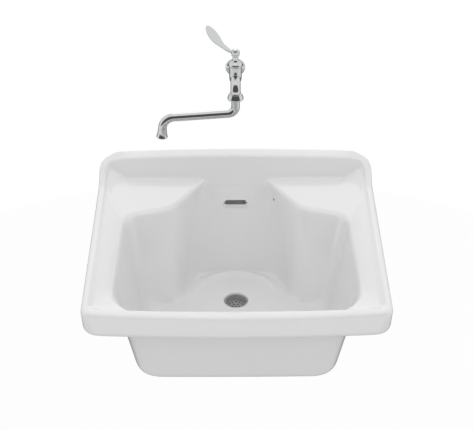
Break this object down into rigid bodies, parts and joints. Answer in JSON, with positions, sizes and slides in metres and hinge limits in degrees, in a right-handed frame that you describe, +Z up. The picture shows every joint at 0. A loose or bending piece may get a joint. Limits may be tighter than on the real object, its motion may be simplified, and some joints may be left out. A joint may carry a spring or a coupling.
{
  "type": "service sink with wall faucet",
  "caption": "White china mop sink with a deep bowl, back shelves and a rounded apron, hung on the wall, with its drain trap and a lever wall faucet that has a swivel spout.",
  "frame": {"origin": "on the wall plane at the back face of the basin, in the middle of its width, level with the top of the rim at the front corners", "axes": "+X to the right seen from the front, +Y into the wall, +Z up"},
  "size_m": [0.605, 0.5908, 0.7955],
  "materials": {
    "china": "glazed white",
    "chrome": "polished",
    "brass": "turned",
    "steel": "satin",
    "rubber": "matt",
    "white_plastic": "smooth",
    "grey_plastic": "matt"
  },
  "bodies": {
    "sink": {"basin": "china", "hanger_left": "steel", "hanger_right": "steel", "hanger_screws": "steel", "hanger_washers": "steel", "waste_body": "grey_plastic", "waste_top_gasket": "rubber", "waste_bottom_gasket": "rubber", "waste_washer": "white_plastic", "waste_locknut": "grey_plastic", "tailpiece": "brass", "tailpiece_nut": "brass", "tailpiece_seal": "rubber", "trap_bend": "white_plastic", "trap_inlet_nut": "white_plastic", "trap_inlet_seal": "rubber", "cleanout_plug": "white_plastic", "cleanout_gasket": "rubber", "trap_outlet_nut": "white_plastic", "trap_outlet_seal": "rubber", "trap_arm": "brass", "trap_wall_flange": "chrome", "trap_wall_seal": "rubber", "faucet_body": "chrome", "faucet_flange": "chrome", "cover_nut": "chrome", "packing_retainer": "brass", "stem_packing": "rubber", "valve_seal": "rubber", "fixed_disc": "china", "spout_nut": "chrome", "spout_packing": "rubber"},
    "lever": {"spindle": "brass", "turning_disc": "china", "lever_handle": "chrome", "handle_screw": "steel", "handle_cap": "chrome"},
    "spout": {"spout_tube": "chrome", "outlet_collar": "chrome", "flow_straightener": "white_plastic", "spout_ring": "brass"},
    "strainer": {"strainer": "grey_plastic"}
  },
  "joints": [
    {"name": "lever_turn", "type": "hinge", "parent": "sink", "child": "lever", "pos_m": [0, -0.045, 0.3], "axis": [0, 0, 1], "range_deg": [0, 90]},
    {"name": "spout_swivel", "type": "hinge", "parent": "sink", "child": "spout", "pos_m": [0, -0.0815, 0.22], "axis": [0, 0, 1], "range_deg": [-4, 176]},
    {"name": "strainer_lift", "type": "slide", "parent": "sink", "child": "strainer", "axis": [0, 0, 1], "range_m": [0, 0.06]}
  ]
}
